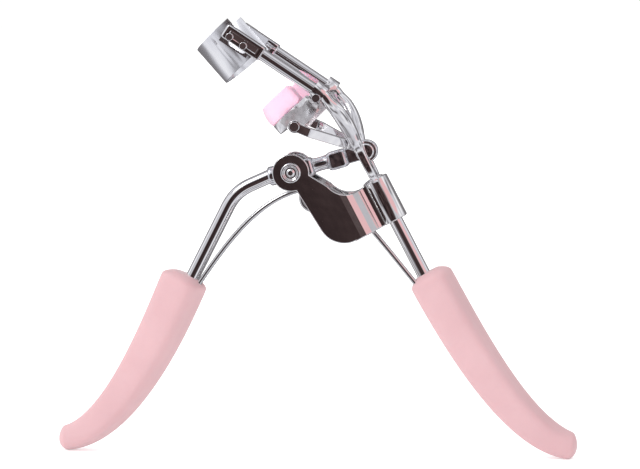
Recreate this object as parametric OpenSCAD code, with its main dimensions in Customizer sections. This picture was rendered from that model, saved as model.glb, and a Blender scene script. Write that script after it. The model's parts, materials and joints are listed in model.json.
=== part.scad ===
// Eyelash curler standing on the tips of its two grips.
// X runs towards the right handle, Y along every pivot axis, Z up to the jaws.

/* [Handles] */
// Diameter of both handle rods
rod_d = 3.3; // [3:0.1:3.6]
// Lean of the right handle rod from the vertical, in degrees
rod_lean = 27.5; // [27:0.1:28]
// Largest radius of the left grip
left_grip_r = 5.6; // [5.3:0.05:5.8]
// Largest radius of the right grip
right_grip_r = 5.25; // [5:0.05:5.5]
// Thickness of a grip along Y, as a share of its width
grip_flatness = 0.9; // [0.8:0.01:1]
// Diameter of the spring wire
wire_d = 1.2; // [1:0.05:1.3]

/* [Rails and jaws] */
// Slope of the rails above the horizontal, in degrees
rail_slope = 33.5; // [33:0.1:34]
// Diameter of each rail
rail_d = 2.8; // [2.6:0.05:2.9]
// Distance from the middle plane to a rail's axis
rail_y = 14; // [13.8:0.05:14.2]
// Outer radius of the lower jaw's channel
jaw_r = 13.3; // [13.2:0.05:13.4]
// Length of the upper jaw's blade along the rails
blade_h = 10.3; // [9:0.1:10.6]
// Thickness of the upper jaw's blade
blade_t = 0.7; // [0.6:0.05:0.8]
// Travel of the lower jaw from open to closed
jaw_travel = 10.66; // [10:0.01:10.66]

/* [Hinge] */
// Distance from the middle plane to the outside of a bracket leaf
leaf_y = 5.6; // [5.5:0.05:5.8]
// Thickness of the bracket's sheet
sheet_t = 0.8; // [0.7:0.05:0.8]
// Radius of the bracket's ear around the main pivot
ear_r = 4.4; // [4.2:0.05:4.6]
// Outer radius of the barrel that grips the right rod
barrel_r = 3.1; // [3.05:0.05:3.2]
// Radius of the main pivot rivet's shank
rivet_r = 1.5; // [1.4:0.05:1.6]

/* [Hidden] */

chrome = "silver";
bright = "gainsboro";
pink = "lightpink";
fine = 96;
coarse = 32;
gap = 0.03;

// Pivots in the XZ plane: main pivot, link pin, strut pins.
hinge = [-5.4, 67.9];
link = [12.1, 72.9];
strut_foot = [-3.5, 79.3];
// A point on the right rod's axis, and the middle of the open lower jaw's crossbar.
rod_ref = [18.8, 57];
jaw_ref = [2.6, 86.9];

// Distances along the right rod's axis from rod_ref.
barrel_low = -0.5;
barrel_top = 10.4;
strip_low = 13.9;
leg_top = 20;
bend_s = 32.65;
rod_socket = 6;

// Flat strip between the barrel and the arms.
strip_t = 1.9;
strip_x = -0.65;
strip_y = 5.2;
slot_y = 3.5;
arm_y = 4.8;
boss_r = barrel_r - sheet_t - gap;
boss_low = -0.2;
boss_h = 11;
rod_r = rod_d / 2;
rail_r = rail_d / 2;
arm_r = rail_r;

// Distances along the rails from jaw_ref.
rail_low = -1.45;
rail_end = 26.8;
block_low = 16.3;
block_x = 3.4;
block_y = 3.6;
pad_top = 7.1;
blade_low = pad_top + jaw_travel + 0.08;
blade_r = 12.2;
jaw_tilt = 15;
window_x = -1.8;
window_r = 0.85;
window_low = 20.9;
window_top = 24;
arc_x = 0.2;

// The strut pins, as distances across and along the rails from jaw_ref.
foot = strut_foot - jaw_ref;
foot_across = -foot[0] * sin(rail_slope) - foot[1] * cos(rail_slope);
foot_along = foot[1] * sin(rail_slope) - foot[0] * cos(rail_slope);

// Lower jaw channel.
floor_low = -7.3;
wall_t = 0.6;
outer_wall_top = -4.9;
inner_wall_top = -5.6;
lip_r = 13.5;
lip_top = -1.3;
pad_in_r = 10.4;
pad_out_r = jaw_r - wall_t - gap;
cheek_in = 12.35;
cheek_t = 0.8;
eyelet_r = 2.35;
eyelet_low = -0.8;
eyelet_h = 2.8;
slide_fit = 0.06;

// Link between lever and struts. The strut eyes are bored large round the link pin.
pin_r = 0.8;
strut_bore = 1.78;
strut_eye = 2.55;
strut_y = 1.95;
strut_half = 1.1;
foot_y = 14.1;
foot_eye = 1.5;
foot_pin_r = 0.7;
knob_r = 2.7;
knob_y = 1.15;
head_y = 2.75;
head_t = 0.4;

// Lever.
lever_y = 2.5;
eye_r = 3.8;
eye_y = 3.9;
washer_t = 0.75;
washer_r = 3.4;
leaf_in = leaf_y - sheet_t;
collar = [-11.2, 66.6];
rod_bend = [-19.2, 63];
left_rod_end = [-33.6, 34.5];
right_rod_end_s = -24;

// Spring coil.
coil = [-0.6, 61.6];
coil_r = 2.7;
coil_in = 115;
coil_turns = 3;
coil_out = 62;
coil_y = 2;
wire_r = wire_d / 2;
wire_sides = 8;

// Bezier points of the spring's legs and of the grips' axes.
left_leg = [[-29.3, -1.5, 37.4], [-19, -1.5, 53.5], [-12, -2, 62.4], [-1.74, -2, 64.05]];
right_leg = [[0.67, 2, 63.98], [9, 1, 60.5], [14, -1.6, 53.6], [26.1, -1.7, 39]];
left_line = [[-31, 0, 43], [-36.4, 0, 30.3], [-48.2, 0, 2.6], [-62.4, 0, 2.9]];
right_line = [[26.6, 0, 44.2], [34.9, 0, 29.2], [48.8, 0, 3.9], [62.3, 0, 2.9]];
left_taper = 2.8;
right_taper = 2.2;
grip_round = 0.045;
grip_steps = [0, 0.01, 0.025, 0.05, 0.12, 0.2, 0.3, 0.4, 0.5, 0.6, 0.7, 0.8, 0.88, 0.94, 0.96, 0.975, 0.988, 0.997];

function lerp(a, b, t) = a + (b - a) * t;
function bezier(p, t) = pow(1 - t, 3) * p[0] + 3 * pow(1 - t, 2) * t * p[1]
    + 3 * (1 - t) * t * t * p[2] + pow(t, 3) * p[3];
function heading(path, i) = let (a = path[max(i - 1, 0)], b = path[min(i + 1, len(path) - 1)])
    atan2(b[2] - a[2], b[0] - a[0]);
function ring(c, h, r, flat, n) = [for (k = [0:n - 1]) let (f = 360 * k / n)
    [c[0] - r * cos(f) * sin(h), c[1] + r * flat * sin(f), c[2] + r * cos(f) * cos(h)]];

// A closed tube along points [x, y, z], with one radius for each point.
module tube(path, radii, flat, n) {
    rows = len(path);
    points = [for (i = [0:rows - 1]) each ring(path[i], heading(path, i), radii[i], flat, n)];
    sides = [for (i = [0:rows - 2]) for (k = [0:n - 1])
        [i * n + k, i * n + (k + 1) % n, (i + 1) * n + (k + 1) % n, (i + 1) * n + k]];
    first = [for (k = [0:n - 1]) n - 1 - k];
    last = [for (k = [0:n - 1]) (rows - 1) * n + k];
    polyhedron(points, concat([first], sides, [last]));
}

// Z runs up the right rod's axis, from rod_ref.
module along_rod() {
    translate([rod_ref[0], 0, rod_ref[1]]) rotate([0, -rod_lean, 0]) children();
}

// Z runs up the rails, from jaw_ref; the jaws bulge towards -X.
module along_rails() {
    translate([jaw_ref[0], 0, jaw_ref[1]]) rotate([0, rail_slope - 90, 0]) children();
}

// A cylinder along Y, centred on y.
module pin_y(p, y, r, length) {
    translate([p[0], y + length / 2, p[1]]) rotate([90, 0, 0]) cylinder(r = r, h = length, $fn = fine);
}

// A straight round bar between two points.
module bar(a, b, r) {
    d = b - a;
    translate(a) rotate([0, acos(d[2] / norm(d)), atan2(d[1], d[0])]) cylinder(r = r, h = norm(d), $fn = fine);
}

// An outline in the XZ plane, made solid along Y.
module plate_y(y, thick) {
    translate([0, y + thick / 2, 0]) rotate([90, 0, 0]) linear_extrude(thick) children();
}

module frame_fork() {
    color(bright) {
        along_rod() {
            difference() {
                translate([0, 0, boss_low]) cylinder(r = boss_r, h = boss_h, $fn = fine);
                cylinder(r = rod_r + gap, h = rod_socket * 2, center = true, $fn = fine);
            }
            difference() {
                union() {
                    translate([strip_x, -strip_y, strip_low]) cube([strip_t, 2 * strip_y, leg_top - strip_low]);
                    translate([strip_x, 0, strip_low]) rotate([0, 90, 0])
                        cylinder(r = strip_y, h = strip_t, $fn = fine);
                }
                translate([-strip_t, -slot_y, strip_low]) cube([2 * strip_t, 2 * slot_y, leg_top]);
                translate([-strip_t, 0, strip_low]) rotate([0, 90, 0])
                    cylinder(r = slot_y, h = 2 * strip_t, $fn = fine);
                translate([-strip_t, -strip_y, 0]) cube([2 * strip_t, 2 * strip_y, barrel_top + 0.1]);
            }
            for (side = [-1, 1]) {
                leg = [0, side * arm_y, leg_top - 0.5];
                bend = [0, side * rail_y, bend_s];
                translate(leg) sphere(r = arm_r, $fn = fine);
                bar(leg, bend, arm_r);
                translate(bend) sphere(r = rail_r + 0.02, $fn = fine);
            }
        }
        along_rails() for (side = [-1, 1]) translate([0, side * rail_y, 0]) difference() {
            union() {
                translate([0, 0, rail_low]) cylinder(r = rail_r, h = rail_end - rail_low - 0.2, $fn = fine);
                translate([-block_x / 2, -block_y / 2, block_low]) cube([block_x, block_y, rail_end - block_low]);
            }
            translate([-0.6, side * block_y / 2 - 0.4, block_low + 1.5]) cube([1.2, 0.8, rail_end - block_low - 3]);
            translate([0, -side * rail_y, 0]) tab_rivets(side, 0.5 + gap);
        }
    }
}

// Z runs across a jaw's tilted edge, from height z on the rails.
module tilted(z) {
    translate([0, 0, z]) rotate([0, jaw_tilt, 0]) children();
}

// Half ring about the middle of the jaws, from radius r - t to r.
module arc_band(r, t, low, high) {
    translate([arc_x, 0, low]) difference() {
        cylinder(r = r, h = high - low, $fn = fine);
        translate([0, 0, -1]) cylinder(r = r - t, h = high - low + 2, $fn = fine);
        translate([-0.6, -2 * r, -1]) cube([4 * r, 4 * r, high - low + 2]);
    }
}

module upper_jaw() {
    color(bright) along_rails() difference() {
        union() {
            tilted(blade_low) arc_band(blade_r, blade_t, 0, blade_h);
            for (side = [-1, 1]) translate([-3, side * (blade_r - blade_t / 2) - blade_t / 2, blade_low + 1.4])
                cube([4.6, blade_t, rail_end - blade_low - 1.4]);
        }
        for (side = [-1, 1]) {
            translate([window_x, side * blade_r, window_low]) rotate([90, 0, 0])
                cylinder(r = window_r, h = 4, center = true, $fn = fine);
            translate([window_x, side * blade_r, window_top]) rotate([90, 0, 0])
                cylinder(r = window_r, h = 4, center = true, $fn = fine);
            translate([window_x - window_r, side * blade_r - 2, window_low])
                cube([2 * window_r, 4, window_top - window_low]);
            tilted(blade_low) translate([arc_x, 0, 8]) rotate([0, -90, side * 57])
                cylinder(r = 0.45, h = blade_r + 2, $fn = fine);
            tab_rivets(side, 0.5 + gap);
        }
    }
}

// Holes or shanks for the two rivets of one side, through the rail's block and the jaw's tab.
module tab_rivets(side, r) {
    for (z = [block_low + 4.7, rail_end - 2]) translate([-0.7, side * (blade_r - blade_t), z])
        rotate([side * -90, 0, 0]) cylinder(r = r, h = rail_y + block_y / 2 + 0.25 - blade_r + blade_t, $fn = fine);
}

module upper_jaw_rivets() {
    color(chrome) along_rails() for (side = [-1, 1]) {
        tab_rivets(side, 0.5);
        for (z = [block_low + 4.7, rail_end - 2]) translate([-0.7, side * (rail_y + block_y / 2), z])
            rotate([side * -90, 0, 0]) cylinder(r = 0.85, h = 0.25, $fn = fine);
    }
}

// Side view of a lower jaw cheek; the first axis points down from the rails.
module cheek_outline() {
    polygon([[2.1, -1.2], [3.6, -1.75], [9.3, -0.55], [11.2, 1.2], [10.9, 4.2], [9.8, 4.6], [7.4, 3.9],
        [4.8, 2.1], [2.1, 2.1]]);
    translate([foot_across, foot_along]) circle(r = 1.5, $fn = fine);
}

module lower_jaw() {
    color(bright) along_rails() {
        difference() {
            tilted(pad_top) {
                arc_band(jaw_r, wall_t, floor_low, outer_wall_top);
                arc_band(jaw_r - 0.1, jaw_r - pad_in_r + wall_t - 0.2, floor_low, floor_low + wall_t);
                arc_band(pad_in_r, wall_t, floor_low, inner_wall_top);
            }
            translate([-2.2, -20, -10]) cube([20, 40, 30]);
            for (side = [-1, 1]) translate([0, side * rail_y, -5]) cylinder(r = eyelet_r + gap, h = 20, $fn = fine);
        }
        for (side = [-1, 1]) translate([0, side * (cheek_in + cheek_t / 2), 0]) difference() {
            translate([0, cheek_t / 2, 0]) rotate([90, 0, 0]) mirror([1, 0, 0])
                linear_extrude(cheek_t) cheek_outline();
            translate([-foot_across, 0, foot_along]) rotate([90, 0, 0])
                cylinder(r = foot_pin_r + gap, h = 4, center = true, $fn = fine);
            translate([0, side * (rail_y - cheek_in - cheek_t / 2), eyelet_low])
                cylinder(r = eyelet_r + gap, h = eyelet_h, $fn = fine);
        }
    }
}

module silicone_pad() {
    color(pink) along_rails() difference() {
        tilted(pad_top) {
            arc_band(pad_out_r, pad_out_r - pad_in_r - gap, floor_low + wall_t + gap, 0);
            arc_band(lip_r, lip_r - pad_out_r + 0.6, outer_wall_top + gap, lip_top);
        }
        translate([-2.6, -20, -10]) cube([20, 40, 30]);
        for (side = [0, 1]) mirror([0, side, 0]) translate([-6, cheek_in - 0.05, -2]) cube([6, 4, 4.3]);
        tilted(pad_top) translate([arc_x, 0, -0.35]) difference() {
            cylinder(r = blade_r + 0.25, h = 1, $fn = fine);
            translate([0, 0, -1]) cylinder(r = blade_r - blade_t - 0.25, h = 3, $fn = fine);
        }
    }
}

module guide_crossbar() {
    color(chrome) along_rails() difference() {
        translate([0, 0, eyelet_low + eyelet_h / 2]) rotate([90, 0, 0])
            cylinder(r = 1.35, h = 2 * rail_y - 3.2, center = true, $fn = fine);
        for (side = [-1, 1]) translate([0, side * rail_y, eyelet_low - 1])
            cylinder(r = eyelet_r + gap, h = eyelet_h + 2, $fn = fine);
    }
}

// Rivets that close the eyelets, on their outer sides.
module eyelet_rivet(side, r) {
    translate([-1.3, side * (rail_y + rail_r + 0.15), eyelet_low + 1.1]) rotate([side * -90, 0, 0])
        cylinder(r = r, h = 1.1, $fn = fine);
}

module guide_eyelets() {
    color(bright) along_rails() for (side = [-1, 1]) difference() {
        translate([0, side * rail_y, eyelet_low]) cylinder(r = eyelet_r, h = eyelet_h, $fn = fine);
        translate([0, side * rail_y, eyelet_low - 1]) cylinder(r = rail_r + slide_fit, h = eyelet_h + 2, $fn = fine);
        eyelet_rivet(side, 1 + gap);
    }
}

module guide_rivets() {
    color(chrome) along_rails() for (side = [-1, 1]) eyelet_rivet(side, 1);
}

// Side is -1 for the front strut and 1 for the rear one. A flat strip, stepped outwards from the link to the cheek.
module strut(side) {
    reach = norm(strut_foot - link);
    step_in = 0.2 * reach;
    step_out = 0.8 * reach;
    lean = atan2(strut_foot[1] - link[1], strut_foot[0] - link[0]);
    color(chrome) difference() {
        translate([link[0], 0, link[1]]) rotate([0, -lean, 0]) intersection() {
            union() {
                rotate([90, 0, 0]) cylinder(r = strut_eye, h = 40, center = true, $fn = fine);
                translate([0, -20, -strut_half]) cube([reach, 40, 2 * strut_half]);
                translate([reach, 0, 0]) rotate([90, 0, 0])
                    cylinder(r = foot_eye, h = 40, center = true, $fn = fine);
            }
            translate([0, 0, -10]) linear_extrude(20) polygon([for (p = [
                [-4, 1.5], [step_in + 0.6, 1.5], [step_out + 0.6, 13.4], [reach + 3, 13.4],
                [reach + 3, 14.8], [step_out - 0.4, 14.8], [step_in - 0.4, 2.4], [-4, 2.4]]) [p[0], side * p[1]]]);
        }
        pin_y(link, side * strut_y, strut_bore, 4);
        pin_y(strut_foot, side * foot_y, foot_pin_r + slide_fit, 4);
    }
}

module strut_front() {
    strut(-1);
}

module strut_rear() {
    strut(1);
}

module strut_pins() {
    color(chrome) for (side = [-1, 1]) {
        pin_y(strut_foot, side * (cheek_in + foot_y + 1.2) / 2, foot_pin_r, foot_y + 1.2 - cheek_in);
        pin_y(strut_foot, side * (foot_y + 1.2), 1.15, 0.6);
    }
}

module link_pin() {
    color(bright) {
        pin_y(link, 0, pin_r, 2 * head_y + head_t);
        for (side = [-1, 1]) pin_y(link, side * (head_y + head_t / 2), 1.9, head_t);
    }
}

module lever_arm() {
    away = atan2(link[1] - hinge[1], link[0] - hinge[0]);
    reach = norm(link - hinge);
    color(chrome) difference() {
        union() {
            pin_y(hinge, 0, eye_r, 2 * eye_y);
            pin_y(link, 0, knob_r, 2 * knob_y);
            translate([hinge[0], 0, hinge[1]]) rotate([0, -away, 0]) {
                translate([1, -lever_y, -2.2]) cube([4.2, 2 * lever_y, 4.4]);
                translate([4, 0, 0]) rotate([0, 90, 0]) cylinder(r = 1.65, h = 6, $fn = fine);
                translate([8.6, -lever_y, -2.3]) cube([4.9, 2 * lever_y, 4.4]);
                translate([12, -knob_y, -1.8]) cube([reach - 12, 2 * knob_y, 3.6]);
            }
            bar([collar[0], 0, collar[1]], [hinge[0], 0, hinge[1]], 2.3);
        }
        pin_y(hinge, 0, rivet_r + slide_fit, 20);
        pin_y(link, 0, pin_r + gap, 20);
        bar([rod_bend[0], 0, rod_bend[1]], [collar[0] + 1.6, 0, collar[1] + 0.72], rod_r + gap);
    }
}

module left_handle_rod() {
    elbow = [rod_bend[0], 0, rod_bend[1]];
    color(bright) {
        bar([left_rod_end[0], 0, left_rod_end[1]], elbow, rod_r);
        translate(elbow) sphere(r = rod_r, $fn = fine);
        bar(elbow, [collar[0] + 1.5, 0, collar[1] + 0.67], rod_r);
    }
}

// Outline of a bracket leaf seen along Y, without its strip along the rod.
module leaf_outline() {
    translate(hinge) circle(r = ear_r, $fn = fine);
    translate([7.2, 57.7]) circle(r = 6.35, $fn = fine);
    polygon([[-9.3, 66.1], [-4, 63.6], [1.7, 54.5], [10, 53], [6, 62], [8, 64], [3.2, 64.9], [-1.3, 67.6], [-5, 68]]);
}

// Cross-section of one bracket leaf and its bend out of the barrel; side is -1 in front and 1 behind.
module leaf_section(side) {
    polygon([[-2.5, side * 0.9], [-3.5, side * 1.2], [-4.6, side * 1.6], [-6.6, side * 3.8], [-7.6, side * 4.55],
        [-8.8, side * leaf_in], [-32, side * leaf_in], [-32, side * leaf_y], [-8.6, side * leaf_y],
        [-7.2, side * 5.25], [-5.9, side * 4.3], [-4.1, side * 2.35], [-3.4, side * 1.95], [-1.9, side * 1.85]]);
}

module bracket_leaf(side) {
    difference() {
        intersection() {
            along_rod() translate([0, 0, barrel_low - 10]) linear_extrude(50) leaf_section(side);
            union() {
                plate_y(0, 20) leaf_outline();
                along_rod() translate([-10, -10, barrel_low]) cube([20, 20, barrel_top - barrel_low]);
            }
        }
        translate([7.5, 10, 68.4]) rotate([90, 0, 0]) cylinder(r = 5.5, h = 20, $fn = fine);
        pin_y(hinge, 0, rivet_r + gap, 20);
    }
}

module hinge_bracket() {
    color(chrome) {
        along_rod() difference() {
            translate([0, 0, barrel_low]) cylinder(r = barrel_r, h = barrel_top - barrel_low, $fn = fine);
            cylinder(r = barrel_r - sheet_t, h = 60, center = true, $fn = fine);
            translate([-4, -0.5, -5]) cube([3, 1, 30]);
        }
        bracket_leaf(-1);
        bracket_leaf(1);
    }
}

module pivot_rivet() {
    color(bright) difference() {
        union() {
            pin_y(hinge, 0, rivet_r, 2 * leaf_y + 0.8);
            for (side = [-1, 1]) pin_y(hinge, side * (leaf_y + 0.45), 2.35, 0.8);
        }
        for (side = [-1, 1]) pin_y(hinge, side * (leaf_y + 0.8), 1.6, 1);
    }
}

module pivot_washer(side) {
    color(bright) difference() {
        pin_y(hinge, side * (leaf_in - washer_t / 2 - gap), washer_r, washer_t);
        pin_y(hinge, 0, rivet_r + slide_fit, 20);
    }
}

module pivot_washer_front() {
    pivot_washer(-1);
}

module pivot_washer_rear() {
    pivot_washer(1);
}

module right_handle_rod() {
    color(bright) along_rod() translate([0, 0, right_rod_end_s])
        cylinder(r = rod_r, h = rod_socket - right_rod_end_s - gap, $fn = fine);
}

// Centreline of the spring wire: left leg, coil, right leg.
function spring_path() = concat(
    [for (i = [0:15]) bezier(left_leg, i / 16)],
    [for (i = [0:66]) let (t = i / 66, f = coil_in - t * (360 * coil_turns + coil_in - coil_out))
        [coil[0] + coil_r * cos(f), lerp(-coil_y, coil_y, t), coil[1] + coil_r * sin(f)]],
    [for (i = [1:16]) bezier(right_leg, i / 16)]);

module handle_spring() {
    path = spring_path();
    color(chrome) tube(path, [for (p = path) wire_r], 1, wire_sides);
}

// Radius of a grip at t from its top (0) to its tip (1).
function grip_radius(r, taper, t) = (r - taper * t * t) * (1 - 0.45 * pow(max(0, 1 - t / grip_round), 2.2))
    * sqrt(max(0.02, 1 - pow(max(0, (t - 1) / grip_round + 1), 2)));

module grip(line, r, taper) {
    tube([for (t = grip_steps) bezier(line, t)], [for (t = grip_steps) grip_radius(r, taper, t)], grip_flatness,
        coarse);
}

module left_grip() {
    color(pink) difference() {
        grip(left_line, left_grip_r, left_taper);
        bar([left_rod_end[0] - 0.02, 0, left_rod_end[1] - 0.04], [rod_bend[0], 0, rod_bend[1]], rod_r + gap);
        bar([-30, -1.5, 36.5], [-26.6, -1.5, 41.9], wire_r + 0.2);
    }
}

module right_grip() {
    color(pink) difference() {
        grip(right_line, right_grip_r, right_taper);
        along_rod() translate([0, 0, right_rod_end_s - 0.05]) cylinder(r = rod_r + gap, h = 60, $fn = fine);
        bar([27, -1.7, 37.9], [21.7, -1.65, 44.4], wire_r + 0.2);
    }
}

frame_fork();
upper_jaw();
upper_jaw_rivets();
lower_jaw();
silicone_pad();
guide_crossbar();
guide_eyelets();
guide_rivets();
strut_front();
strut_rear();
strut_pins();
link_pin();
lever_arm();
left_handle_rod();
hinge_bracket();
pivot_rivet();
pivot_washer_front();
pivot_washer_rear();
right_handle_rod();
handle_spring();
left_grip();
right_grip();
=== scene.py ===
import json
import math
import bpy
import bmesh
from mathutils import Matrix, Vector


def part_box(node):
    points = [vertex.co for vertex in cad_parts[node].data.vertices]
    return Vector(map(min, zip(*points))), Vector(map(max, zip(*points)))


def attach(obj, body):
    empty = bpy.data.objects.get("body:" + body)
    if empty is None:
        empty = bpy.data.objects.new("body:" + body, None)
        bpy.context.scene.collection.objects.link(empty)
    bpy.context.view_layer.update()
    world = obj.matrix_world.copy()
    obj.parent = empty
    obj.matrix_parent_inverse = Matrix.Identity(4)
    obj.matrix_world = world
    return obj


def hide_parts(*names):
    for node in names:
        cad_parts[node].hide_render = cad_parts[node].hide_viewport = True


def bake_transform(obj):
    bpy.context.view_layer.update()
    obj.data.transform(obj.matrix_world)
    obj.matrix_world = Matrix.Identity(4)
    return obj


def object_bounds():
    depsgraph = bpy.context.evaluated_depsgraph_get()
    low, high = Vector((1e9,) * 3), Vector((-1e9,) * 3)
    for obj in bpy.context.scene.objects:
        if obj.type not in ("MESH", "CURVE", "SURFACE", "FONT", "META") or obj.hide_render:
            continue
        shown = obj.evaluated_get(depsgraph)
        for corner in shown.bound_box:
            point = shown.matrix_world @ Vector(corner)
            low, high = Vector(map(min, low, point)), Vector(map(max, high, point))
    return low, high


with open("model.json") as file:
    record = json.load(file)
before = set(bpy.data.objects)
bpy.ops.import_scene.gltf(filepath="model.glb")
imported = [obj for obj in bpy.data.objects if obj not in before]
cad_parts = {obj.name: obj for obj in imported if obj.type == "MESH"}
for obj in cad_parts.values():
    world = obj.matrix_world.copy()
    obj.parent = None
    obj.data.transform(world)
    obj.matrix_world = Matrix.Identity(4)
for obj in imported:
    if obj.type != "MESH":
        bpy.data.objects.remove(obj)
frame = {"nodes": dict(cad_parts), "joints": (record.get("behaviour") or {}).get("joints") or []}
cad_low, cad_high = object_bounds()
MM = 0.001
scene = bpy.context.scene
nodes = frame["nodes"]


# ---------------------------------------------------------------- camera
VIEW_AZ = math.radians(5.6)
VIEW_EL = math.radians(5.6)
CAMERA_DISTANCE = 0.6
CAMERA_LENS = 142

target = Vector((0.001, 0, (cad_low.z + cad_high.z) / 2 + 0.0008))
back = Vector((math.sin(VIEW_AZ) * math.cos(VIEW_EL),
               -math.cos(VIEW_AZ) * math.cos(VIEW_EL),
               math.sin(VIEW_EL)))
cam_data = bpy.data.cameras.new("camera")
cam_data.lens = CAMERA_LENS
cam_data.sensor_width = 36
cam_data.clip_start = 0.01
cam_data.clip_end = 50
camera = bpy.data.objects.new("camera", cam_data)
camera.location = target + back * CAMERA_DISTANCE
camera.rotation_mode = "QUATERNION"
camera.rotation_quaternion = (-back).to_track_quat("-Z", "Y")
scene.collection.objects.link(camera)
scene.camera = camera


# ---------------------------------------------------------------- material tools
class Shader:
    """A Principled material and short calls for its nodes."""

    def __init__(self, name):
        self.mat = bpy.data.materials.new(name)
        self.mat.use_nodes = True
        self.tree = self.mat.node_tree
        self.bsdf = self.tree.nodes["Principled BSDF"]
        self.out = self.tree.nodes["Material Output"]
        self.coord = self.tree.nodes.new("ShaderNodeTexCoord").outputs["Object"]

    def node(self, kind, **settings):
        n = self.tree.nodes.new(kind)
        for key, value in settings.items():
            setattr(n, key, value)
        return n

    def link(self, a, b):
        self.tree.links.new(a, b)

    def noise(self, scale, detail, rough=0.55, stretch=(1, 1, 1)):
        m = self.node("ShaderNodeMapping")
        m.inputs["Scale"].default_value = stretch
        self.link(self.coord, m.inputs["Vector"])
        n = self.node("ShaderNodeTexNoise")
        n.inputs["Scale"].default_value = scale
        n.inputs["Detail"].default_value = detail
        n.inputs["Roughness"].default_value = rough
        self.link(m.outputs[0], n.inputs["Vector"])
        return n.outputs["Fac"]

    def span(self, source, low, high):
        m = self.node("ShaderNodeMapRange")
        m.inputs["To Min"].default_value = low
        m.inputs["To Max"].default_value = high
        self.link(source, m.inputs["Value"])
        return m.outputs["Result"]

    def mix(self, a, b, factor, mode="MIX"):
        m = self.node("ShaderNodeMix", data_type="RGBA", blend_type=mode)
        for value, socket in ((factor, m.inputs[0]), (a, m.inputs[6]), (b, m.inputs[7])):
            if isinstance(value, bpy.types.NodeSocket):
                self.link(value, socket)
            elif hasattr(value, "__len__"):
                socket.default_value = (*value, 1)
            else:
                socket.default_value = value
        return m.outputs[2]

    def bump(self, *layers):
        """Stacks (height, strength, distance) layers into the normal."""
        last = None
        for height, strength, distance in layers:
            b = self.node("ShaderNodeBump")
            b.inputs["Strength"].default_value = strength
            b.inputs["Distance"].default_value = distance
            self.link(height, b.inputs["Height"])
            if last is not None:
                self.link(last, b.inputs["Normal"])
            last = b.outputs["Normal"]
        self.link(last, self.bsdf.inputs["Normal"])

    def lean(self, toward, behind):
        """Leans the shading normal where Y is over behind, in metres, in place of a dished sheet."""
        place = self.node("ShaderNodeSeparateXYZ")
        self.link(self.coord, place.inputs[0])
        there = self.node("ShaderNodeMath", operation="GREATER_THAN")
        self.link(place.outputs["Y"], there.inputs[0])
        there.inputs[1].default_value = behind
        push = self.node("ShaderNodeVectorMath", operation="SCALE")
        push.inputs[0].default_value = toward
        self.link(there.outputs[0], push.inputs["Scale"])
        face = self.node("ShaderNodeVectorMath", operation="ADD")
        self.link(self.node("ShaderNodeNewGeometry").outputs["Normal"], face.inputs[0])
        self.link(push.outputs["Vector"], face.inputs[1])
        level = self.node("ShaderNodeVectorMath", operation="NORMALIZE")
        self.link(face.outputs["Vector"], level.inputs[0])
        first = [n for n in self.tree.nodes if n.type == "BUMP"][0]
        self.link(level.outputs["Vector"], first.inputs["Normal"])

    def put(self, socket, value):
        if isinstance(value, bpy.types.NodeSocket):
            self.link(value, self.bsdf.inputs[socket])
        else:
            self.bsdf.inputs[socket].default_value = (*value, 1) if hasattr(value, "__len__") else value


def plated(name, gloss, wave, tone=(0.93, 0.93, 0.94), warm=(0.9, 0.885, 0.88), scratch=0.05,
           brush=(1, 1, 1), lean=None, behind=-1.0):
    """Polished chrome plate: faint colour drift, wiped haze, hairline scratches and slow waviness."""
    s = Shader(name)
    s.put("Metallic", 1.0)
    drift = s.noise(90, 3)
    s.put("Base Color", s.mix(tone, warm, s.span(drift, -0.2, 0.9)))
    haze = s.noise(420, 5, 0.6)
    hair = s.noise(900, 6, 0.7, stretch=brush)
    low, high = gloss
    s.put("Roughness", s.span(s.mix(haze, hair, 0.4), low, high))
    s.bump((s.noise(160, 2), wave, 0.0012), (hair, scratch, 0.00004))
    if lean:
        s.lean(lean, behind)
    return s.mat


chrome_rails = plated("rail_chrome", (0.03, 0.08), 0.03, brush=(0.15, 1, 1))
chrome_sheet = plated("sheet_chrome", (0.04, 0.1), 0.02, tone=(0.9, 0.895, 0.89))
# The jaws' sheets lean their shading: the lower jaw all over, the upper one over 5 mm behind the middle.
chrome_dished = plated("dished_sheet_chrome", (0.14, 0.26), 0.25, lean=(0.24, 0, 0.46))
chrome_jaw = plated("jaw_chrome", (0.2, 0.3), 0.03, tone=(0.93, 0.94, 0.97), warm=(0.9, 0.9, 0.92),
                    lean=(-0.5, 0, 0.1), behind=0.005)
chrome_small = plated("small_part_chrome", (0.03, 0.1), 0.05)
chrome_cast = plated("cast_chrome", (0.06, 0.16), 0.12, tone=(0.86, 0.87, 0.9), warm=(0.84, 0.84, 0.86),
                     scratch=0.09)
chrome_rod = plated("rod_chrome", (0.03, 0.08), 0.025, brush=(1, 1, 0.1))
spring_steel = plated("spring_steel", (0.12, 0.24), 0.03, tone=(0.8, 0.8, 0.81), warm=(0.74, 0.735, 0.73),
                      scratch=0.12)


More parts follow.
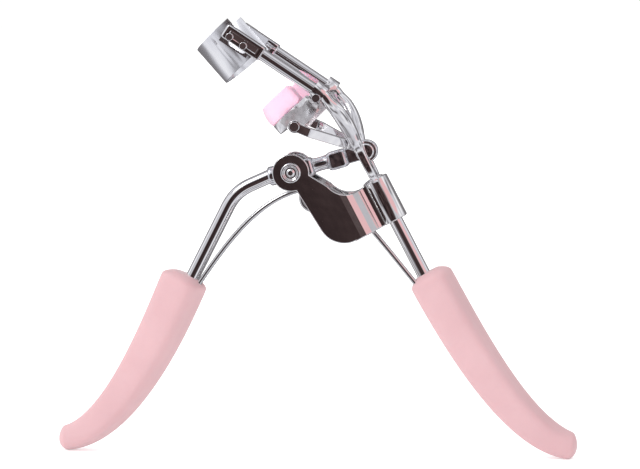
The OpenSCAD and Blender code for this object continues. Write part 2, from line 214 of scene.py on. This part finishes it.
def rubber(name, light, deep, rough, grain, scatter, sheen):
    """Soft-touch rubber: mottled colour, a fine moulded grain and a soft bloom."""
    s = Shader(name)
    cloud = s.noise(55, 4)
    speck = s.noise(900, 6, 0.65)
    s.put("Base Color", s.mix(s.mix(light, deep, s.span(cloud, 0.0, 1.0)), deep, s.span(speck, -0.12, 0.3)))
    s.put("Roughness", s.span(s.noise(300, 4), rough - 0.06, rough + 0.08))
    s.put("Subsurface Weight", scatter)
    s.bsdf.inputs["Subsurface Radius"].default_value = (1.0, 0.45, 0.4)
    s.bsdf.inputs["Subsurface Scale"].default_value = 0.0016
    s.bsdf.inputs["Sheen Weight"].default_value = sheen
    s.bsdf.inputs["Sheen Roughness"].default_value = 0.4
    s.bsdf.inputs["Sheen Tint"].default_value = (1, 0.93, 0.93, 1)
    s.bsdf.inputs["Specular IOR Level"].default_value = 0.35
    s.bump((s.noise(1700, 5, 0.6), grain, 0.00006), (s.noise(130, 2), 0.08, 0.0003))
    return s.mat


grip_rubber = rubber("grip_rubber", (0.64, 0.415, 0.435), (0.53, 0.32, 0.34), 0.5, 0.35, 0.12, 0.42)
pad_rubber = rubber("pad_rubber", (0.9, 0.62, 0.74), (0.84, 0.5, 0.64), 0.34, 0.12, 0.5, 0.1)

finish_of = {
    "frame_fork": chrome_rails, "upper_jaw": chrome_jaw, "upper_jaw_rivets": chrome_small,
    "lower_jaw": chrome_dished, "silicone_pad": pad_rubber, "guide_crossbar": chrome_small,
    "guide_eyelets": chrome_small, "guide_rivets": chrome_cast, "strut_front": chrome_small,
    "strut_rear": chrome_small, "strut_pins": chrome_small, "link_pin": chrome_small,
    "lever_arm": chrome_cast, "left_handle_rod": chrome_rod, "hinge_bracket": chrome_sheet,
    "pivot_rivet": chrome_small, "pivot_washer_front": chrome_small, "pivot_washer_rear": chrome_small,
    "right_handle_rod": chrome_rod, "handle_spring": spring_steel, "left_grip": grip_rubber,
    "right_grip": grip_rubber,
}
for name, mat in finish_of.items():
    nodes[name].data.materials.clear()
    nodes[name].data.materials.append(mat)


# ---------------------------------------------------------------- mesh tools
def bezier(p, t):
    a, b, c, d = (Vector(q) for q in p)
    u = 1 - t
    return a * u ** 3 + b * 3 * u * u * t + c * 3 * u * t * t + d * t ** 3


def loft(name, rings, mat, sharp=None, caps=True):
    """A skin over rings of points, in metres. A ring of one point is a tip. caps fill both end rings."""
    bm = bmesh.new()
    rings = [[bm.verts.new(p) for p in ring] for ring in rings]
    n = max(len(ring) for ring in rings)
    for one, two in zip(rings, rings[1:]):
        for k in range(n):
            after = k + 1
            corners = (one[k % len(one)], one[after % len(one)], two[after % len(two)], two[k % len(two)])
            bm.faces.new(list(dict.fromkeys(corners)))
    if caps:
        bm.faces.new(rings[0][::-1])
        bm.faces.new(rings[-1])
    bmesh.ops.recalc_face_normals(bm, faces=bm.faces)
    mesh = bpy.data.meshes.new(name)
    bm.to_mesh(mesh)
    bm.free()
    for f in mesh.polygons:
        f.use_smooth = True
    if sharp:
        mesh.set_sharp_from_angle(angle=math.radians(sharp))
    piece = bpy.data.objects.new(name, mesh)
    scene.collection.objects.link(piece)
    mesh.materials.append(mat)
    return piece


def sweep(name, path, outline, mat, sharp=None):
    """A closed tube along path. outline(i) is the section at point i: pairs across and roughly along Y."""
    rings = []
    last = len(path) - 1
    for i, p in enumerate(path):
        ahead = (path[min(i + 1, last)] - path[max(i - 1, 0)]).normalized()
        across = Vector((0, 1, 0)).cross(ahead).normalized()
        up = ahead.cross(across)
        rings.append([p + across * a + up * b for a, b in outline(i)])
    return loft(name, rings, mat, sharp)


def stand_for(piece, body, node):
    """Rides the piece on a body and shows it in place of a CAD node."""
    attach(piece, body)
    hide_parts(node)


def circle(radius, n):
    return [(radius * math.cos(math.tau * k / n), radius * math.sin(math.tau * k / n)) for k in range(n)]


def mm(points):
    return [Vector(p) * MM for p in points]


# ---------------------------------------------------------------- grips
GRIP_FLAT = 0.9
GRIP_STEPS = 110
GRIP_SIDES = 96
SOFT_CORNERS = 4.2
ROUND_START = 0.07
ROUND_END = 0.2


def grip_radius(r, taper, t):
    end = 0.045
    r = (r - taper * t * t) * (1 - 0.45 * max(0, 1 - t / end) ** 2.2)
    return r * math.sqrt(max(0.0004, 1 - max(0, (t - 1) / end + 1) ** 2))


def faceted_section(r, n, turn, squareness):
    """A rounded square turned by an angle, as wide across as a circle of radius r."""
    power = 2 / (2 + (SOFT_CORNERS - 2) * squareness)
    points = []
    for k in range(n):
        f = math.tau * k / n
        a = math.copysign(abs(math.cos(f - turn)) ** power, math.cos(f - turn))
        b = math.copysign(abs(math.sin(f - turn)) ** power, math.sin(f - turn))
        points.append((a * math.cos(turn) - b * math.sin(turn), a * math.sin(turn) + b * math.cos(turn)))
    wide = max(abs(a) for a, b in points)
    deep = max(abs(b) for a, b in points)
    return [(r * a / wide, r * GRIP_FLAT * b / deep) for a, b in points]


def make_grip(name, line, r, taper, turn, node, body):
    steps = [0.5 - 0.5 * math.cos(math.pi * k / GRIP_STEPS) for k in range(GRIP_STEPS + 1)]
    points = [bezier(mm(line), t) for t in steps]

    def outline(i):
        t = steps[i]
        square = min(1, t / ROUND_START) * min(1, (1 - t) / ROUND_END)
        return faceted_section(grip_radius(r, taper, t) * MM, GRIP_SIDES, turn, square)

    stand_for(sweep(name, points, outline, grip_rubber), body, node)


left_line = [(-31, 0, 43), (-36.4, 0, 30.3), (-48.2, 0, 2.6), (-62.4, 0, 2.9)]
right_line = [(26.6, 0, 44.2), (34.9, 0, 29.2), (48.8, 0, 3.9), (62.3, 0, 2.9)]
make_grip("left_grip_sleeve", left_line, 5.6, 2.8, math.radians(21), "left_grip", "lever")
make_grip("right_grip_sleeve", right_line, 5.25, 2.2, math.radians(17), "right_grip", "root")

# ---------------------------------------------------------------- bent left rod
ROD_R = 1.65
rod_low = Vector((-33.6, 0, 34.5))
rod_bend = Vector((-19.2, 0, 63))
rod_top = Vector((-9.7, 0, 67.27))
down = (rod_low - rod_bend).normalized()
up = (rod_top - rod_bend).normalized()
bend_points = [rod_bend + down * 4.2, rod_bend + down * 1.2, rod_bend + up * 1.2, rod_bend + up * 4.2]
rod_points = [rod_low.lerp(bend_points[0], k / 14) for k in range(14)]
rod_points += [bezier(bend_points, k / 24) for k in range(25)]
rod_points += [bend_points[3].lerp(rod_top, k / 6) for k in range(1, 7)]
rod = sweep("left_handle_bent_rod", mm(rod_points), lambda i: circle(ROD_R * MM, 48), chrome_rod)
stand_for(rod, "lever", "left_handle_rod")

# ---------------------------------------------------------------- spring
left_leg = [(-30.4, -1.2, 37.2), (-20, -1.5, 53.3), (-12.2, -2, 62.3), (-1.74, -2, 64.05)]
right_leg = [(0.67, 2, 63.98), (9, 1, 60.5), (14, -1.6, 53.6), (26.1, -1.7, 39)]
COIL = Vector((-0.6, 0, 61.6))
COIL_R = 2.7
COIL_TURNS = 3
COIL_IN = 115
COIL_OUT = 62
COIL_Y = 2
COIL_STEPS = 240
LEG_STEPS = 40
WIRE_R = 0.6
wire = [bezier(left_leg, k / LEG_STEPS) for k in range(LEG_STEPS)]
for k in range(COIL_STEPS + 1):
    t = k / COIL_STEPS
    f = math.radians(COIL_IN - t * (360 * COIL_TURNS + COIL_IN - COIL_OUT))
    wire.append(COIL + Vector((COIL_R * math.cos(f), -COIL_Y + 2 * COIL_Y * t, COIL_R * math.sin(f))))
wire += [bezier(right_leg, k / LEG_STEPS) for k in range(1, LEG_STEPS + 1)]
spring = sweep("handle_spring_wire", mm(wire), lambda i: circle(WIRE_R * MM, 20), spring_steel)
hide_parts("handle_spring")
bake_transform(spring)

# ---------------------------------------------------------------- fork: arms, rails and end blocks
slide_axis = next(Vector(j["axis"]) for j in frame["joints"] if j["name"] == "jaw_slide")
rail_turn = math.atan2(slide_axis.z, -slide_axis.x) - math.pi / 2
JAW_REF = Vector((2.6, 0, 86.9))
ROD_REF = Vector((18.8, 0, 57))
ROD_LEAN = math.radians(27.5)
rails_frame = Matrix.Translation(JAW_REF * MM) @ Matrix.Rotation(rail_turn, 4, "Y")
rod_frame = Matrix.Translation(ROD_REF * MM) @ Matrix.Rotation(-ROD_LEAN, 4, "Y")
RAIL_R = 1.4
RAIL_Y = 14
RAIL_END = 26.8
BLOCK_LOW = 16.3
BLOCK_X = 3.4
BLOCK_Y = 3.6


def smooth_path(knots, per_span=14):
    """A Catmull-Rom curve through all the knots, with the knots' extra values eased along."""
    path = []
    for i in range(len(knots) - 1):
        p0, p1, p2, p3 = (knots[min(max(k, 0), len(knots) - 1)] for k in (i - 1, i, i + 1, i + 2))
        for k in range(per_span):
            t = k / per_span
            path.append([0.5 * (2 * b + (c - a) * t + (2 * a - 5 * b + 4 * c - d) * t * t
                                + (3 * b - a - 3 * c + d) * t ** 3) for a, b, c, d in zip(p0, p1, p2, p3)])
    path.append(list(knots[-1]))
    return path


def superellipse(wide, deep, corner, n=48):
    """Section with half-width, half-depth and an exponent: 2 is an ellipse, more is squarer."""
    points = []
    for k in range(n):
        c = math.cos(math.tau * k / n)
        d = math.sin(math.tau * k / n)
        points.append((wide * math.copysign(abs(c) ** (2 / corner), c),
                       deep * math.copysign(abs(d) ** (2 / corner), d)))
    return points


# One arm above the barrel: place across, out and along the rod, then half-width, half-depth and squareness.
arm_knots = [
    (0.3, 2.4, 10.2, 0.95, 0.85, 4),
    (0.3, 3.7, 11.6, 0.95, 0.85, 4),
    (0.3, 4.35, 13.9, 0.95, 0.85, 4),
    (0.3, 4.4, 16.5, 1.0, 0.85, 4),
    (0.35, 4.75, 18.6, 1.25, 0.95, 3.2),
    (0.55, 5.9, 20.7, 1.5, 1.05, 2.6),
    (0.85, 8.3, 23.2, 1.75, 1.15, 2.4),
    (1.0, 10.9, 26.0, 1.8, 1.2, 2.4),
    (0.8, 12.9, 29.0, 1.7, 1.25, 2.3),
    (0.2, 13.8, 31.4, 1.5, 1.35, 2.1),
]
rail_knots = [(0, RAIL_Y, z, RAIL_R, RAIL_R, 2) for z in (-0.9, 0.6, 6, 12, BLOCK_LOW, BLOCK_LOW + 2)]


def make_arm(name, side):
    knots = []
    for x, y, z, wide, deep, corner in arm_knots:
        knots.append((*(rod_frame @ (Vector((x, side * y, z)) * MM)), wide, deep, corner))
    for x, y, z, wide, deep, corner in rail_knots:
        knots.append((*(rails_frame @ (Vector((x, side * y, z)) * MM)), wide, deep, corner))
    path = smooth_path(knots)
    bar = sweep(name, [Vector(p[:3]) for p in path],
                lambda i: superellipse(path[i][3] * MM, path[i][4] * MM, path[i][5]),
                chrome_rails)
    stand_for(bar, "root", "frame_fork")


def block_section(groove, inset):
    """Rounded rectangle, wide across X and deep along Y, with a groove in its outer face."""
    wide = BLOCK_X / 2 - inset
    deep = BLOCK_Y / 2 - inset
    round_r = 0.35
    points = []
    for cx, cy, start in ((wide, deep, 0), (-wide, deep, 90), (-wide, -deep, 180), (wide, -deep, 270)):
        for k in range(6):
            f = math.radians(start + 18 * k)
            points.append((cx - math.copysign(round_r, cx) + round_r * math.cos(f),
                           cy - math.copysign(round_r, cy) + round_r * math.sin(f)))
        if start == 0:
            points += [(0.72, deep), (0.6, deep - groove), (-0.6, deep - groove), (-0.72, deep)]
    return points


def make_block(name, side):
    """stops: place along the rail, depth of the groove, inset of the outline."""
    stops = [(BLOCK_LOW, 0, 0.3), (BLOCK_LOW + 0.1, 0, 0.1), (BLOCK_LOW + 0.3, 0, 0),
             (BLOCK_LOW + 1.4, 0, 0), (BLOCK_LOW + 1.55, 0.4, 0),
             (RAIL_END - 1.6, 0.4, 0), (RAIL_END - 1.45, 0, 0),
             (RAIL_END - 0.6, 0, 0), (RAIL_END - 0.3, 0, 0.12),
             (RAIL_END - 0.1, 0, 0.35), (RAIL_END, 0, 0.7)]
    rings = [[rails_frame @ (Vector((x, side * (RAIL_Y + y), z)) * MM)
              for x, y in block_section(groove, inset)] for z, groove, inset in stops]
    stand_for(loft(name, rings, chrome_rails, sharp=40), "root", "frame_fork")


for label, side in (("front", -1), ("rear", 1)):
    make_arm("fork_arm_" + label, side)
    make_block("fork_end_block_" + label, side)

# The boss inside the barrel: place along the rod, radius.
boss_stops = [(-0.2, 2.2), (10.45, 2.2), (10.65, 2.1), (10.75, 1.9), (10.8, 1.6)]
boss = sweep("fork_boss", [rod_frame @ (Vector((0, 0, z)) * MM) for z, r in boss_stops],
             lambda i: circle(boss_stops[i][1] * MM, 56), chrome_rails)
stand_for(boss, "root", "frame_fork")

# ---------------------------------------------------------------- silicone pad
PAD_TOP = 7.1
JAW_TILT = math.radians(15)
pad_frame = rails_frame @ Matrix.Translation((0, 0, PAD_TOP * MM)) @ Matrix.Rotation(JAW_TILT, 4, "Y")
ARC_X = 0.2


def soften(loop, passes=2):
    """Cuts the corners of a closed outline, which rounds them."""
    for _ in range(passes):
        loop = [q for a, b in zip(loop, loop[1:] + loop[:1])
                for q in ((a[0] * 0.75 + b[0] * 0.25, a[1] * 0.75 + b[1] * 0.25),
                          (a[0] * 0.25 + b[0] * 0.75, a[1] * 0.25 + b[1] * 0.75))]
    return loop


# Section of the pad as (radius from the arc's middle, height). The wide part stands over the channel.
pad_profile = soften([(10.45, -6.6), (12.6, -6.6), (12.65, -4.95), (13.3, -4.8), (13.52, -3.8),
                      (13.45, -2.2), (13.0, -0.9), (12.62, -0.1), (12.4, -0.02), (12.25, -0.34),
                      (11.9, -0.36), (11.5, -0.34), (11.3, -0.02), (10.9, -0.02), (10.48, -0.3),
                      (10.43, -1.6), (10.43, -4)])
pad_middle = (12.0, -3.2)
ARC_STEPS = 96
PAD_HALF = 76.5
PAD_END = 7
rings = []
for i in range(ARC_STEPS + 1):
    share = 2 * i / ARC_STEPS - 1
    angle = math.radians(PAD_HALF * math.sin(share * math.pi / 2))
    near_end = max(0, (abs(math.degrees(angle)) - PAD_HALF + PAD_END) / PAD_END)
    shrink = math.sqrt(max(0.0, 1 - near_end ** 2)) * 0.45 + 0.55
    ring = []
    for r, w in pad_profile:
        r = pad_middle[0] + (r - pad_middle[0]) * shrink
        w = pad_middle[1] + (w - pad_middle[1]) * shrink
        ring.append(pad_frame @ (Vector((ARC_X - r * math.cos(angle), r * math.sin(angle), w)) * MM))
    rings.append(ring)
stand_for(loft("silicone_lash_pad", rings, pad_rubber), "jaw", "silicone_pad")


# ---------------------------------------------------------------- turned parts
def turned(name, centre, half, mat, body, node, n=72):
    """A part turned about an axis along Y, the same both ways. half holds (y, radius) for one end."""
    rings = []
    for y, r in [(-y, r) for y, r in reversed(half)] + half:
        turns = [math.tau * k / n for k in range(n)] if r > 0 else [0]
        rings.append([centre + Vector((r * math.cos(f), y, r * math.sin(f))) * MM for f in turns])
    stand_for(loft(name, rings, mat, caps=False), body, node)


hinge_at = next(Vector(j["pos_m"]) for j in frame["joints"] if j["name"] == "lever_hinge")
rivet_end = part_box("pivot_rivet")[1].y / MM
# The rivet's end as (depth below the end, radius): shank, rolled rim, then the cup with its domed floor.
rivet_cup = [(0.83, 1.49), (0.8, 2.2), (0.72, 2.32), (0.4, 2.35), (0.14, 2.27), (0.03, 2.12), (0, 1.98),
             (0.03, 1.84), (0.12, 1.7), (0.3, 1.6), (0.5, 1.5), (0.58, 1.3), (0.56, 1.05), (0.5, 0.9),
             (0.36, 0.75), (0.28, 0.45), (0.26, 0.2), (0.255, 0)]
rivet_half = [(rivet_end - deep, r) for deep, r in rivet_cup]
turned("pivot_rivet_cupped", hinge_at, rivet_half, chrome_small, "root", "pivot_rivet")

# The link pin: shank with a low domed head at each end.
link_low, link_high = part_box("link_pin")
link_at = (link_low + link_high) / 2
pin_end = link_high.y / MM
pin_dome = [(0.42, 0.8), (0.41, 1.8), (0.3, 1.9), (0.22, 1.86), (0.12, 1.6), (0.05, 1.15), (0.01, 0.6),
            (0, 0)]
pin_half = [(pin_end - deep, r) for deep, r in pin_dome]
turned("link_pin_domed", link_at, pin_half, chrome_small, "lever", "link_pin")

# ---------------------------------------------------------------- lever arm
reach = (link_at - hinge_at).length / MM
lever_turn = math.atan2((link_at - hinge_at).z, (link_at - hinge_at).x)
lever_frame = Matrix.Translation(hinge_at) @ Matrix.Rotation(-lever_turn, 4, "Y")


def rounded_box(wide, deep, cut):
    """Rectangle with rounded corners, which turns into a circle when cut is the whole radius."""
    points = []
    for sx, sy, start in ((1, 1, 0), (-1, 1, 90), (-1, -1, 180), (1, -1, 270)):
        for k in range(7):
            f = math.radians(start + 15 * k)
            points.append((sx * (wide - cut) + cut * math.cos(f), sy * (deep - cut) + cut * math.sin(f)))
    return points


def lever_part(name, rise, stops):
    """stops: distance from the hinge, half-height, half-depth, corner radius. rise lifts the whole part."""
    path = [lever_frame @ (Vector((stop[0], 0, rise)) * MM) for stop in stops]
    part = sweep(name, path, lambda i: rounded_box(*(v * MM for v in stops[i][1:])),
                 chrome_cast, sharp=50)
    stand_for(part, "lever", "lever_arm")


lever_part("lever_shoulder", 0, [(1, 1.6, 2.0, 0.5), (1.4, 2.2, 2.5, 0.75), (4.3, 2.2, 2.5, 0.75),
                                 (4.75, 2.08, 2.38, 0.75), (5.05, 1.85, 2.05, 0.75), (5.2, 1.6, 1.7, 0.7)])
lever_part("lever_neck", 0, [(4.6, 2.0, 2.0, 2.0), (5.3, 1.75, 1.75, 1.75), (6.1, 1.65, 1.65, 1.65),
                             (7.7, 1.65, 1.65, 1.65), (8.5, 1.75, 1.75, 1.75), (9.2, 2.0, 2.0, 1.95)])
lever_part("lever_block", -0.1, [(8.6, 1.6, 1.8, 0.7), (8.75, 1.85, 2.1, 0.75), (9.1, 2.1, 2.38, 0.8),
                                 (9.6, 2.2, 2.5, 0.8), (12.3, 2.2, 2.5, 0.8), (12.9, 2.1, 2.4, 0.8),
                                 (13.3, 1.85, 2.1, 0.8), (13.5, 1.5, 1.7, 0.75)])
lever_part("lever_tongue", 0, [(12, 1.8, 1.15, 0.3), (reach, 1.8, 1.15, 0.3)])
knob_half = [(0.75, 2.7), (0.95, 2.62), (1.1, 2.4), (1.15, 2.15), (1.15, 0)]
turned("lever_knob", link_at, knob_half, chrome_cast, "lever", "lever_arm")
eye_half = [(3.6, 3.8), (3.8, 3.7), (3.9, 3.4), (3.9, 1.62), (3.5, 1.55), (0.5, 1.55)]
turned("lever_eye", hinge_at, eye_half, chrome_cast, "lever", "lever_arm")
collar_from = Vector((-11.2, 0, 66.6))
# The collar, from the rod towards the hinge: share of the way, radius.
collar_stops = [(0, 1.9), (0.03, 2.15), (0.07, 2.28), (0.12, 2.3), (0.62, 2.3)]
collar = sweep("lever_collar", mm([collar_from.lerp(hinge_at / MM, t) for t, r in collar_stops]),
               lambda i: circle(collar_stops[i][1] * MM, 48), chrome_cast)
stand_for(collar, "lever", "lever_arm")

# ---------------------------------------------------------------- edges of the metal parts
SMALL_BEVEL = 0.12
bevel_of = {
    "upper_jaw": 0.1, "upper_jaw_rivets": SMALL_BEVEL, "lower_jaw": 0.1, "guide_crossbar": SMALL_BEVEL,
    "guide_eyelets": SMALL_BEVEL, "guide_rivets": SMALL_BEVEL, "strut_front": 0.25, "strut_rear": 0.25,
    "strut_pins": SMALL_BEVEL, "hinge_bracket": 0.3, "pivot_washer_front": SMALL_BEVEL,
    "pivot_washer_rear": SMALL_BEVEL,
}
for name, width in bevel_of.items():
    joined = nodes[name].modifiers.new("joined faces", "WELD")
    joined.merge_threshold = 0.002 * MM
    flats = nodes[name].modifiers.new("whole flats", "DECIMATE")
    flats.decimate_type = "DISSOLVE"
    flats.angle_limit = math.radians(0.4)
    edge = nodes[name].modifiers.new("soft edges", "BEVEL")
    edge.width = width * MM
    edge.use_clamp_overlap = name != "hinge_bracket"
    edge.segments = 3
    edge.limit_method = "ANGLE"
    edge.angle_limit = math.radians(35)
    edge.harden_normals = True

# ---------------------------------------------------------------- floor, sky and lights
FLOOR_HALF = 6
floor_mesh = bpy.data.meshes.new("floor")
corners = [(-FLOOR_HALF, -FLOOR_HALF, 0), (FLOOR_HALF, -FLOOR_HALF, 0),
           (FLOOR_HALF, FLOOR_HALF, 0), (-FLOOR_HALF, FLOOR_HALF, 0)]
floor_mesh.from_pydata(corners, [], [(0, 1, 2, 3)])
floor = bpy.data.objects.new("floor", floor_mesh)
scene.collection.objects.link(floor)
paper = Shader("floor_paper")
paper.put("Base Color", paper.mix((0.97, 0.97, 0.97), (0.95, 0.95, 0.95), paper.noise(14, 3)))
paper.put("Roughness", 0.9)
paper.put("Emission Color", (1.0, 1.0, 1.0))
paper.put("Emission Strength", 0.3)
floor_mesh.materials.append(paper.mat)
floor.visible_glossy = False

world = bpy.data.worlds.new("studio")
scene.world = world
world.use_nodes = True
tree = world.node_tree
tree.nodes.clear()
output = tree.nodes.new("ShaderNodeOutputWorld")
shade = tree.nodes.new("ShaderNodeBackground")
coord = tree.nodes.new("ShaderNodeTexCoord")


def sky_patch(base, toward, inner, outer, tone):
    """Paints a soft round patch: full inside the inner angle, gone at the outer one, in degrees."""
    dot = tree.nodes.new("ShaderNodeVectorMath")
    dot.operation = "DOT_PRODUCT"
    tree.links.new(coord.outputs["Generated"], dot.inputs[0])
    dot.inputs[1].default_value = Vector(toward).normalized()
    fade = tree.nodes.new("ShaderNodeMapRange")
    fade.interpolation_type = "SMOOTHSTEP"
    fade.inputs["From Min"].default_value = math.cos(math.radians(outer))
    fade.inputs["From Max"].default_value = math.cos(math.radians(inner))
    tree.links.new(dot.outputs["Value"], fade.inputs["Value"])
    mix = tree.nodes.new("ShaderNodeMix")
    mix.data_type = "RGBA"
    tree.links.new(fade.outputs["Result"], mix.inputs[0])
    if isinstance(base, bpy.types.NodeSocket):
        tree.links.new(base, mix.inputs[6])
    else:
        mix.inputs[6].default_value = (*base, 1)
    if isinstance(tone, bpy.types.NodeSocket):
        tree.links.new(tone, mix.inputs[7])
    else:
        mix.inputs[7].default_value = (*tone, 1)
    return mix.outputs[2]


def sky_clouds(scale, stops):
    """Grey bands of a studio ceiling: noise over the direction, turned into tones."""
    noise = tree.nodes.new("ShaderNodeTexNoise")
    noise.inputs["Scale"].default_value = scale
    noise.inputs["Detail"].default_value = 1
    tree.links.new(coord.outputs["Generated"], noise.inputs["Vector"])
    ramp = tree.nodes.new("ShaderNodeValToRGB")
    while len(ramp.color_ramp.elements) < len(stops):
        ramp.color_ramp.elements.new(0.5)
    for element, (at, tone) in zip(ramp.color_ramp.elements, stops):
        element.position = at
        element.color = (*tone, 1)
    tree.links.new(noise.outputs["Fac"], ramp.inputs[0])
    return ramp.outputs["Color"]


sky = sky_clouds(2.6, ((0.35, (0.2, 0.19, 0.2)), (0.43, (0.56, 0.56, 0.6)), (0.56, (0.74, 0.74, 0.79)),
                       (0.66, (0.95, 0.95, 0.97))))
sky = sky_patch(sky, (0.05, 1, 0.0), 48, 72, (0.2, 0.19, 0.2))
sky = sky_patch(sky, (0.66, -0.66, 0.36), 17, 23, (0.85, 0.52, 0.54))
dark = sky_clouds(6, ((0.35, (0.012, 0.007, 0.008)), (0.65, (0.075, 0.05, 0.05))))
sky = sky_patch(sky, (-0.1, -0.98, -0.06), 27, 42, dark)
# Glossy rays see the painted sky, diffuse rays a soft glow from the upper left, and the camera plain white.
seen = tree.nodes.new("ShaderNodeLightPath")
room = tree.nodes.new("ShaderNodeMix")
room.data_type = "RGBA"
backdrop = tree.nodes.new("ShaderNodeMix")
backdrop.data_type = "RGBA"
soft_sky = sky_patch((0.42, 0.42, 0.43), (-0.5, -0.35, 0.76), 10, 130, (1.5, 1.5, 1.5))
tree.links.new(soft_sky, room.inputs[7])
room.inputs[6].default_value = (1.02, 1.02, 1.02, 1)
tree.links.new(seen.outputs["Is Diffuse Ray"], room.inputs[0])
tree.links.new(room.outputs[2], backdrop.inputs[6])
tree.links.new(seen.outputs["Is Glossy Ray"], backdrop.inputs[0])
tree.links.new(sky, backdrop.inputs[7])
tree.links.new(backdrop.outputs[2], shade.inputs["Color"])
shade.inputs["Strength"].default_value = 1.0
tree.links.new(shade.outputs[0], output.inputs["Surface"])


def soft_light(name, place, aim, size, power):
    data = bpy.data.lights.new(name, "AREA")
    data.size = size
    data.energy = power
    lamp = bpy.data.objects.new(name, data)
    lamp.location = place
    lamp.rotation_mode = "QUATERNION"
    lamp.rotation_quaternion = (Vector(aim) - Vector(place)).to_track_quat("-Z", "Y")
    scene.collection.objects.link(lamp)


soft_light("key_light", (-0.7, -0.5, 0.9), (0, 0, 0.05), 0.5, 3.2)

scene.view_settings.view_transform = "Standard"
scene.view_settings.look = "None"
